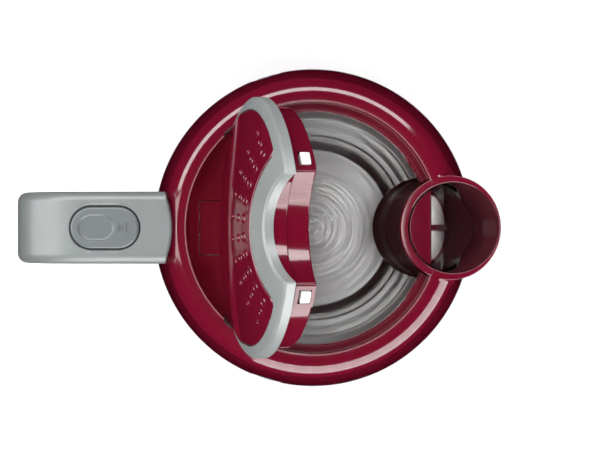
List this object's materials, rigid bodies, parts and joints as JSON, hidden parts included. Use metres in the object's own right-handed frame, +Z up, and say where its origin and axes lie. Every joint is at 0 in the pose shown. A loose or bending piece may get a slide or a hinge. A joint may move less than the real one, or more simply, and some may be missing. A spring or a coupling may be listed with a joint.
{
  "type": "electric jug kettle",
  "caption": "Cordless jug kettle on a power base: hinged lid with push-button release, spout filter, loop handle and on-off lever.",
  "frame": {"origin": "on the jug's vertical axis, at the underside of the power base, which is the surface the kettle stands on", "axes": "+Z up; +X from the handle toward the spout; +Y to the kettle's left when looking from the handle to the spout"},
  "size_m": [0.2158, 0.1544, 0.2949],
  "materials": {
    "red_plastic": "glossy dark red, slightly pearly",
    "grey_plastic": "satin light grey",
    "dark_grey_plastic": "satin mid grey",
    "black_plastic": "fine moulded texture",
    "white_plastic": "plain moulded",
    "clear_plastic": "polished clear plastic",
    "brushed_steel": "fine circular brushing",
    "zinc_steel": "zinc plated",
    "aluminium": "as cast",
    "brass": "plain",
    "rubber": "matt",
    "silicone": "matt translucent",
    "filter_mesh": "fine nylon weave"
  },
  "bodies": {
    "base": {"base_housing": "black_plastic", "base_bottom_cover": "black_plastic", "base_connector": "black_plastic", "base_contact_pin": "brass", "base_contact_ring": "brass", "cord_gland": "rubber", "base_foot_1": "rubber", "base_foot_2": "rubber", "base_foot_3": "rubber", "base_foot_4": "rubber", "base_screw_1": "zinc_steel", "base_screw_2": "zinc_steel", "base_screw_3": "zinc_steel"},
    "jug": {"jug_body": "red_plastic", "water_window_left": "clear_plastic", "water_window_right": "clear_plastic", "rim_collar": "red_plastic", "hinge_cover": "red_plastic", "spout_guard": "red_plastic", "heating_plate": "brushed_steel", "plate_seal": "silicone", "heating_element": "aluminium", "thermostat_control": "black_plastic", "connector_socket": "white_plastic", "jug_bottom_cover": "black_plastic", "cover_screw_1": "zinc_steel", "cover_screw_2": "zinc_steel", "cover_screw_3": "zinc_steel", "handle_outer": "grey_plastic", "handle_inner": "dark_grey_plastic", "steam_tube": "silicone", "steam_switch": "black_plastic", "indicator_lens": "clear_plastic", "hinge_pin_left": "zinc_steel", "hinge_pin_right": "zinc_steel"},
    "lid": {"lid_trim_ring": "grey_plastic", "lid_panel": "red_plastic", "lid_inner": "red_plastic", "lid_spring_left": "zinc_steel", "lid_spring_right": "zinc_steel"},
    "latch": {"latch_plate": "white_plastic"},
    "button": {"lid_button": "dark_grey_plastic"},
    "release": {"release_slider": "white_plastic"},
    "power_switch": {"switch_lever": "red_plastic"},
    "filter": {"filter_frame": "red_plastic", "filter_mesh_left": "filter_mesh", "filter_mesh_right": "filter_mesh"}
  },
  "joints": [
    {"name": "jug_lift", "type": "slide", "parent": "base", "child": "jug", "axis": [0, 0, 1], "range_m": [0, 0.06]},
    {"name": "lid_hinge", "type": "hinge", "parent": "jug", "child": "lid", "pos_m": [-0.033, 0, 0.2158], "axis": [0, -1, 0], "range_deg": [-72.7, 0], "stiffness_Nm_per_rad": 0.03, "springref_deg": 34.38},
    {"name": "latch_slide", "type": "slide", "parent": "lid", "child": "latch", "axis": [-0.2974, 0, -0.9548], "range_m": [0, 0.0012], "stiffness_N_per_m": 300, "springref_m": -0.001},
    {"name": "button_press", "type": "slide", "parent": "jug", "child": "button", "axis": [0, 0, -1], "range_m": [0, 0.0025], "stiffness_N_per_m": 400, "springref_m": -0.002},
    {"name": "release_slide", "type": "slide", "parent": "jug", "child": "release", "axis": [1, 0, 0], "range_m": [0, 0.0025]},
    {"name": "switch_toggle", "type": "hinge", "parent": "jug", "child": "power_switch", "pos_m": [-0.103, 0, 0.0585], "axis": [0, -1, 0], "range_deg": [0, 12]},
    {"name": "filter_lift", "type": "slide", "parent": "jug", "child": "filter", "axis": [0, 0, 1], "range_m": [0, 0.045]}
  ],
  "couplings": [
    {"joint": "release_slide", "follows": "button_press", "ratio": 1}
  ]
}
